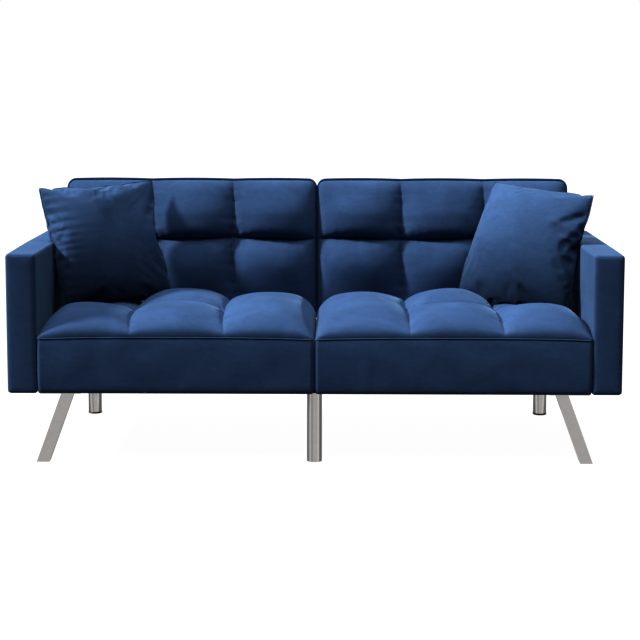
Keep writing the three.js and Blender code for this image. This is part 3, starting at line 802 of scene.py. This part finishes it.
def seat_half(side, sign):
    """One half of the seat: the tufted top, the piping, and the band down to the underside."""
    u, v, height = seat_surface(sign, COVER_STEP)
    loop, out = outline(u, v)
    overhang = NOSE_OVERHANG * (v / NOSE_REACH) * np.exp(1 - v / NOSE_REACH)
    overhang = overhang * np.clip((u - u.min()) / NOSE_START, 0, 1)
    top = mapped(sign, u, v - overhang, SEAM_HEIGHT + height + seam_sag(u), SEAT_MATRIX)
    points, quads = pad_mesh(top, seat_band(sign, loop, out))
    made = piece(f"seat_upholstery_{side}", points, quads, FINISHES["velvet"], "base", "velvet")
    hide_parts(f"seat_cover_{side}")
    seam = loop + out * -SEAT_PIPING_INSET
    path = mapped_loop(sign, seam, SEAM_HEIGHT - SEAT_PIPING_DROP + seam_sag(seam[:, 0]), SEAT_MATRIX)
    piece(f"seat_piping_{side}", *tube(path, SEAT_PIPING), FINISHES["velvet"], "base", "velvet")


def back_band(sign, loop, out):
    """Rings of points from the front seam of a backrest round its band to the rear."""
    inward, upward = np.clip(-out[:, 0], 0, 1), np.clip(out[:, 1], 0, 1)
    rings = []
    for forward, drawn_in, lift in BACK_BAND_STATIONS:
        place = loop + out * (BACK_CLOSING * inward - drawn_in)[:, None]
        place[:, 1] += lift * upward
        rings.append(mapped_loop(sign, place, forward, BACK_MATRIX))
    return rings


def back_rear(sign, u, v):
    """The plain padded rear of a backrest."""
    rear_u, rear_v = inset_grid(u, v, BACK_REAR_INSET)
    spare = np.minimum.reduce([rear_u - u.min(), u.max() - rear_u, rear_v - v.min(), v.max() - rear_v])
    depth = -BACK_BAND - BACK_REAR_PADDING * rise(spare - BACK_REAR_INSET, BACK_REAR_ROUNDING)
    return mapped(sign, rear_u, rear_v, depth, BACK_MATRIX)


def back_piping(side, sign, name, seam, forward, radius):
    """Piping along a closed seam of a backrest."""
    path = mapped_loop(sign, seam, forward, BACK_MATRIX)
    piece(f"back_piping_{name}_{side}", *tube(path, radius), FINISHES["piping"], f"back_{side}", "velvet")


def back_half(side, sign):
    """One backrest: the tufted front, the piped band, and the plain padded rear."""
    u, v, height = back_surface(sign, COVER_STEP)
    loop, out = outline(u, v)
    front = mapped(sign, u, v, height, BACK_MATRIX)
    points, quads = pad_mesh(front, back_band(sign, loop, out), back_rear(sign, u, v))
    made = piece(f"back_upholstery_{side}", points, quads, FINISHES["velvet"], f"back_{side}", "velvet")
    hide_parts(f"back_cover_{side}")
    upward = np.clip(out[:, 1], 0, 1)
    lifted = loop + np.stack([0 * upward, FRONT_PIPING_LIFT * upward], axis=1)
    back_piping(side, sign, "front", lifted, FRONT_PIPING_FORWARD, FRONT_PIPING)
    back_piping(side, sign, "rear", loop - REAR_PIPING_INSET * out, REAR_PIPING_FORWARD, REAR_PIPING)


# Arms
def arm_points(sign, u, v, y):
    """Points of an arm at a distance y behind its front; the top drops away at its rear edge."""
    lowered = 1 - corner_inset(ARM_DEPTH - y, ARM_REAR_EDGE) / ARM_HEIGHT
    return np.stack([sign * (ARM_LOW.x + u), ARM_LOW.y + y + 0 * u, ARM_LOW.z + v * lowered], axis=-1)


def arm_face(sign, u, v, y, bulge):
    """The front or rear of an arm, swelled by its padding."""
    face_u, face_v = inset_grid(u, v, ARM_EDGE)
    points = arm_points(sign, face_u, face_v, y)
    spare = np.minimum.reduce([u, ARM_WIDTH - u, v, ARM_HEIGHT - v])
    points[..., 1] += bulge * rise(spare, ARM_FACE_ROUNDING)
    return points


def arm_stations():
    """Distance behind the front and inset of each ring along an arm, its two ends rounded."""
    front = [(ARM_EDGE * (1 - np.cos(t)), ARM_EDGE * (1 - np.sin(t))) for t in EDGE_TURNS]
    lengths = (ARM_EDGE, ARM_DENSE_STATION, ARM_DEPTH - ARM_REAR_EDGE, ARM_DEPTH - ARM_EDGE)
    middle = [(y, 0.0) for y in spread(lengths, ARM_STEPS[2])[1:-1]]
    rear = [(ARM_DEPTH - y, inset) for y, inset in reversed(front)]
    return front + middle + rear


def arm_rings(sign, u, v):
    """Rings of points along an arm, padded on the outside and above the seat on the inside."""
    loop, out = outline(u, v)
    above_seat = np.clip((loop[:, 1] - ARM_PADDED_FROM) / ARM_PADDED_OVER, 0, 1)
    padding = ARM_OUTER_PADDING * np.clip(out[:, 0], 0, 1)
    padding = padding + ARM_INNER_PADDING * np.clip(-out[:, 0], 0, 1) * above_seat
    rings = []
    for y, inset in arm_stations():
        fullness = np.sin(np.pi * np.clip(y / ARM_DEPTH, 0, 1)) ** 0.5
        creases = ARM_CREASE * np.sin(9 * y + 14 * loop[:, 1] + sign) * fullness
        shift = padding * fullness + creases * (padding > ARM_CREASED_PADDING) - ARM_SHRINK - inset
        place = loop + out * shift[:, None]
        rings.append(arm_points(sign, place[:, 0], place[:, 1], y))
    return rings


def arm(side, sign):
    """A padded box arm."""
    us = spread((0, ARM_WIDTH), ARM_STEPS[0])
    below_edge = spread((0, ARM_DENSE_ROW, ARM_HEIGHT - ARM_TOP_EDGE - ARM_TOP_EDGE_CLEAR), ARM_STEPS[1])
    over_edge = corner_rows(ARM_HEIGHT, ARM_TOP_EDGE, ARM_TOP_EDGE_ROWS)[::-1]
    vs = np.concatenate([below_edge, over_edge])
    u, v = rounded_grid(us, vs, ARM_LOWER_CORNERS, ARM_UPPER_CORNERS)
    front = arm_face(sign, u, v, 0.0, ARM_FRONT_BULGE)
    points, quads = pad_mesh(front, arm_rings(sign, u, v), arm_face(sign, u, v, ARM_DEPTH, ARM_REAR_BULGE))
    made = piece(f"arm_upholstery_{side}", points, quads, FINISHES["velvet"], "base", "velvet")
    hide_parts(f"arm_cover_{side}")


# Deck and underside
def deck_profile():
    """The deck fabric from its front edge over the base's rear edge and down, as (y, z) points."""
    rear, top = DECK_HIGH.y, DECK_HIGH.z
    profile = [(y, top - DECK_SINK) for y in np.linspace(DECK_LOW.y, rear - DECK_EDGE, DECK_FLAT_ROWS)]
    for t in EDGE_TURNS:
        y = rear - DECK_EDGE + DECK_EDGE * np.sin(t)
        profile.append((y, top - DECK_EDGE + DECK_EDGE * np.cos(t) - DECK_SINK))
    profile += [(rear, z) for z in np.linspace(top - DECK_REAR_TOP, DECK_LOW.z + DECK_HEM, DECK_REAR_ROWS)]
    return np.array(profile)


def deck(side, sign):
    """Fabric over the rear of the base, turned down behind it."""
    us = spread(DECK_COLUMNS, DECK_STEP)
    profile = deck_profile()
    u, s = np.meshgrid(us, np.arange(len(profile)), indexing="ij")
    y, z = profile[s, 0], profile[s, 1]
    slack = np.sin(31 * u + 2.0 * sign) + 0.6 * np.sin(53 * u + 9 * y)
    away = rise(np.minimum(u - us[0], us[-1] - u), DECK_HELD)
    on_top = (s < DECK_FLAT_ROWS).astype(float)
    z = z - on_top * away * DECK_TOP_SLACK * (1 + slack)
    y = y - (1 - on_top) * away * DECK_REAR_SLACK * (1 + slack)
    points = np.stack([sign * u, y, z], axis=-1).reshape(-1, 3)
    quads = grid_quads(np.arange(u.size).reshape(u.shape))
    made = piece(f"rear_base_fabric_{side}", points, quads, FINISHES["velvet"], "base", "velvet")
    made.modifiers.new("thickness", "SOLIDIFY").thickness = DECK_FABRIC
    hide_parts(f"rear_base_cover_{side}")


def dust_cover():
    """Thin black sheet stapled under the base, hanging a little between the rails."""
    low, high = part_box("dust_cover")
    us, vs = spread((low.x, 0, high.x), DUST_STEP), spread((low.y, high.y), DUST_STEP)
    u, v = np.meshgrid(us, vs, indexing="ij")
    spare = np.minimum.reduce([u - low.x, high.x - u, v - low.y, high.y - v, DUST_MIDDLE + np.abs(u)])
    ripple = 1 + 0.3 * np.sin(19 * u + 6 * v) + 0.2 * np.sin(31 * v - 8 * u)
    hanging = DUST_SLACK * rise(spare, DUST_SPAN) * ripple * np.clip(spare / DUST_HELD, 0, 1)
    z = (low.z + high.z) / 2 - hanging
    points = np.stack([u, v, z], axis=-1).reshape(-1, 3)
    quads = grid_quads(np.arange(u.size).reshape(u.shape))
    made = piece("dust_cover_sheet", points, quads, FINISHES["black_cloth"], "base", "black_cloth")
    made.modifiers.new("thickness", "SOLIDIFY").thickness = DUST_SHEET
    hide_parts("dust_cover")


def rear_leg(side):
    """A round rear leg under its mounting plate, on a thin black foot."""
    low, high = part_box(f"rear_leg_{side}")
    cap_low, cap_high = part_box(f"rear_leg_cap_{side}")
    centre, top = (cap_low + cap_high) / 2, high.z - LEG_PLATE
    steel, plastic = FINISHES["polished_steel"], FINISHES["black_plastic"]
    shaft, shaft_quads = turned(centre, (
        (LEG_BORE, FOOT_HEIGHT), (LEG_RADIUS - LEG_BEVEL, FOOT_HEIGHT),
        (LEG_RADIUS, FOOT_HEIGHT + LEG_BEVEL), (LEG_RADIUS, top), (LEG_BORE, top)))
    plate, plate_quads = slab(low, high, top)
    points, quads = np.concatenate([shaft, plate]), np.concatenate([shaft_quads, plate_quads + len(shaft)])
    made = piece(f"rear_leg_shaft_{side}", points, quads, steel, "base", "polished_steel")
    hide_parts(f"rear_leg_{side}")
    rim = LEG_RADIUS + FOOT_RIM
    points, quads = turned(centre, (
        (LEG_BORE, 0), (rim - LEG_BEVEL, 0), (rim, LEG_BEVEL), (rim, FOOT_HEIGHT),
        (LEG_BORE, FOOT_HEIGHT + FOOT_CROWN)))
    made = piece(f"rear_leg_foot_{side}", points, quads, plastic, "base", "black_plastic")
    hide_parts(f"rear_leg_cap_{side}")


# Pillows
def pillow_blank():
    """Two sheets of cells sewn together along their edges."""
    steps = np.linspace(-0.5, 0.5, PILLOW_CELLS + 1)
    a, b = np.meshgrid(steps * PILLOW_SIZE[0], steps * PILLOW_SIZE[1], indexing="ij")
    inner = (1 - (2 * a / PILLOW_SIZE[0]) ** 2) * (1 - (2 * b / PILLOW_SIZE[1]) ** 2)
    front = np.stack([a, b, BLANK_EDGE + BLANK_RISE * inner], axis=-1)
    back = front * np.array([1, 1, -1])
    walk = border(*a.shape)
    front[walk[0], walk[1], 2] = 0
    index = np.arange(a.size).reshape(a.shape)
    other = index + a.size
    other[walk] = index[walk]
    points = np.concatenate([front.reshape(-1, 3), back.reshape(-1, 3)])
    return points, np.concatenate([grid_quads(index), grid_quads(other)])


def inflated():
    """The blank blown up by a cloth simulation: its points and its quads."""
    points, quads = pillow_blank()
    blank = placed("pillow_blank", mesh_of("pillow_blank", points, quads, without_loose=True))
    cloth = blank.modifiers.new("cloth", "CLOTH")
    cloth.collision_settings.use_collision = False
    settings = cloth.settings
    settings.quality = 6
    settings.mass = 0.25
    settings.tension_stiffness = 25
    settings.compression_stiffness = 12
    settings.shear_stiffness = 6
    settings.bending_stiffness = 0.35
    settings.air_damping = 4
    settings.use_pressure = True
    settings.uniform_pressure_force = 3.5
    settings.effector_weights.gravity = 0
    frames = PILLOW_FRAMES
    for number in range(1, frames + 1):
        bpy.context.scene.frame_set(number)
    settled = bpy.data.meshes.new_from_object(blank.evaluated_get(bpy.context.evaluated_depsgraph_get()))
    shape = np.array([p.co[:] for p in settled.vertices])
    faces = np.array([f.vertices[:] for f in settled.polygons])
    bpy.data.objects.remove(blank)
    bpy.context.scene.frame_set(1)
    return shape, faces


def straightened(along, across, share_low, share_high):
    """across with the waist of its two edges partly taken out; along is the other direction."""
    waist = 1 - np.abs(across[np.abs(along) < 0.06]).max()
    share = np.where(across < 0, share_low, share_high)
    return across / (1 - share * waist * (1 - along ** 2))


def ruffle(a, b, wave_b):
    """Ruffles beside the outer edge, dying out towards its corners; wave_b sets where the waves are."""
    waves = np.sin(2 * np.pi * (7.1 * wave_b + 0.3 * np.sin(6 * wave_b)))
    waves = waves + 0.5 * np.sin(2 * np.pi * 12.7 * wave_b + 1.1)
    outer = np.exp(-(1 - a) / RUFFLE_REACH) * np.clip((1 - b * b) / RUFFLE_CORNER, 0, 1)
    uneven = 0.6 + 0.4 * np.sin(4 * b + 0.5)
    return waves * outer * uneven * np.clip((1 - a) / RUFFLE_START, 0.3, 1)


def stuffed(shape, form):
    """The inflated shape as a, b and its height over the middle plane, thinner at the inner edge."""
    reach = np.abs(shape[:, :2]).max(axis=0)
    a, b, c = shape[:, 0] / reach[0], shape[:, 1] / reach[1], shape[:, 2]
    a, b = straightened(b, a, form["inner_edge"], OUTER_EDGE), straightened(a, b, LOWER_EDGE, UPPER_EDGE)
    c = c * PILLOW_HALF / np.abs(c).max()
    middle = (1 - a * a) * (1 - b * b)
    c = c * (1 - INNER_THINNING * np.exp(-(1 + a) / INNER_REACH))
    c = np.where(c > 0, c * (FRONT_SHARE + form["front"] * middle), REAR_SHARE * c)
    moved_a, moved_b = a + form["outwards"] * middle, b + form["upwards"] * middle
    return moved_a, moved_b, c + form["ruffles"] * ruffle(moved_a, moved_b, b)


def between_corners(corners, a, b, c, sign):
    """Points from a and b between four corners, raised by c off their plane."""
    share_a, share_b = (a + 1) / 2, (b + 1) / 2
    low = corners[0] + share_a[:, None] * (corners[1] - corners[0])
    high = corners[3] + share_a[:, None] * (corners[2] - corners[3])
    across = corners[1] + corners[2] - corners[0] - corners[3]
    upward = corners[2] + corners[3] - corners[0] - corners[1]
    normal = sign * np.cross(across, upward)
    normal /= np.linalg.norm(normal)
    return low + share_b[:, None] * (high - low) + c[:, None] * normal


def pillow(side, sign, shape, faces):
    """The inflated pillow carried to its four corners, with a sewn edge."""
    finish, body = FINISHES["pillow_velvet"], f"pillow_{side}"
    points = between_corners(np.array(PILLOW_CORNERS[side]), *stuffed(shape, PILLOW_FORM[side]), sign)
    made = piece(f"pillow_{side}_cover", points, faces, finish, body, "pillow_velvet")
    made.modifiers.new("rounding", "SUBSURF").render_levels = 1
    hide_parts(f"throw_pillow_{side}")
    front = np.arange((PILLOW_CELLS + 1) ** 2).reshape(PILLOW_CELLS + 1, -1)
    seam = points[front[border(*front.shape)]]
    piece(f"pillow_{side}_seam", *tube(seam, PILLOW_SEAM), finish, body, "pillow_velvet")


# Studio
def camera():
    """The camera of the front view, a little right of the middle, looking slightly down."""
    lens = bpy.data.cameras.new("camera")
    lens.lens = CAMERA_LENS
    lens.shift_y = CAMERA_SHIFT
    holder = placed("camera", lens)
    level = math.cos(CAMERA_PITCH)
    ahead = Vector((math.sin(CAMERA_YAW) * level, math.cos(CAMERA_YAW) * level, -math.sin(CAMERA_PITCH)))
    turn = ahead.to_track_quat("-Z", "Y") @ Matrix.Rotation(CAMERA_ROLL, 4, "Z").to_quaternion()
    holder.rotation_euler = turn.to_euler()
    holder.location = CAMERA_PLACE
    bpy.context.scene.camera = holder


def distant_softbox(name, travel, strength, spread_degrees):
    """Soft light that travels one way and is as strong everywhere on the floor."""
    light = bpy.data.lights.new(name, "SUN")
    light.energy = strength
    light.angle = math.radians(spread_degrees)
    placed(name, light).rotation_euler = Vector(travel).to_track_quat("-Z", "Y").to_euler()


def mirrored_room(tree):
    """What polished metal mirrors: light panels and dark gaps round the room."""
    direction = node(tree, "ShaderNodeTexCoord").outputs["Generated"]
    to_front = node(tree, "ShaderNodeMapping", {"Vector": direction, "Rotation": (0, 0, math.pi / 2)})
    around = {"Vector": to_front.outputs["Vector"]}
    bearing = node(tree, "ShaderNodeTexGradient", around, gradient_type="RADIAL").outputs["Fac"]
    return ramp(tree, bearing, *((place, grey(bright)) for place, bright in ROOM_PANELS))


def room():
    """A dim room that the camera sees as white, and that metal mirrors as light panels."""
    world = bpy.data.worlds.new("studio")
    world.use_nodes = True
    tree = world.node_tree
    path = node(tree, "ShaderNodeLightPath").outputs
    either = {0: path["Is Camera Ray"], 1: path["Is Glossy Ray"]}
    seen = node(tree, "ShaderNodeMath", either, operation="MAXIMUM").outputs[0]
    looks = node(tree, "ShaderNodeMix", {"Factor": path["Is Glossy Ray"]}, data_type="RGBA")
    looks.inputs["A"].default_value = (*grey(1), 1)
    tree.links.new(mirrored_room(tree), looks.inputs["B"])
    background = tree.nodes["Background"].inputs
    tree.links.new(looks.outputs["Result"], background["Color"])
    tree.links.new(scaled(tree, seen, ROOM_LIGHT, 1.0), background["Strength"])
    bpy.context.scene.world = world


def floor():
    """A plain pale floor that reaches past every view and isn't mirrored in the metal."""
    near, far = -FLOOR_REACH, FLOOR_REACH
    mesh = bpy.data.meshes.new("floor")
    mesh.from_pydata([(near, near, 0), (far, near, 0), (far, far, 0), (near, far, 0)], [], [(0, 1, 2, 3)])
    material, tree, shader, place = start_finish(
        "floor_finish", Roughness=0.9, Specular_IOR_Level=0.0, Emission_Color=(*grey(1), 1),
        Emission_Strength=FLOOR_GLOW)
    tint = ramp(tree, noise(tree, place, 3, 3), (0.3, grey(0.036)), (0.7, grey(0.042)))
    tree.links.new(tint, shader.inputs["Base Color"])
    mesh.materials.append(material)
    plane = placed("floor", mesh)
    plane.visible_diffuse = False
    plane.visible_glossy = False


def studio():
    """A key light from the left, a wide light overhead, a faint one from behind, and the room."""
    for name, travel, strength, spread_degrees in SOFTBOXES:
        distant_softbox(name, travel, strength, spread_degrees)
    room()
    bpy.context.scene.view_settings.view_transform = "Standard"
    bpy.context.scene.view_settings.gamma = VIEW_GAMMA
    floor()


camera()
studio()
finish_cad_nodes()
for side_name, side_sign in SIDES:
    seat_half(side_name, side_sign)
    back_half(side_name, side_sign)
    arm(side_name, side_sign)
    deck(side_name, side_sign)
    rear_leg(side_name)
    foam_block(f"seat_filling_{side_name}", side_sign, seat_surface, SEAT_FOAM_FLOOR, SEAT_FOAM_MATRIX,
               "base", f"seat_foam_{side_name}")
    foam_block(f"back_filling_{side_name}", side_sign, back_surface, BACK_FOAM_FLOOR, BACK_MATRIX,
               f"back_{side_name}", f"back_foam_{side_name}")
dust_cover()
pillow_shape, pillow_faces = inflated()
for side_name, side_sign in SIDES:
    pillow(side_name, side_sign, pillow_shape, pillow_faces)
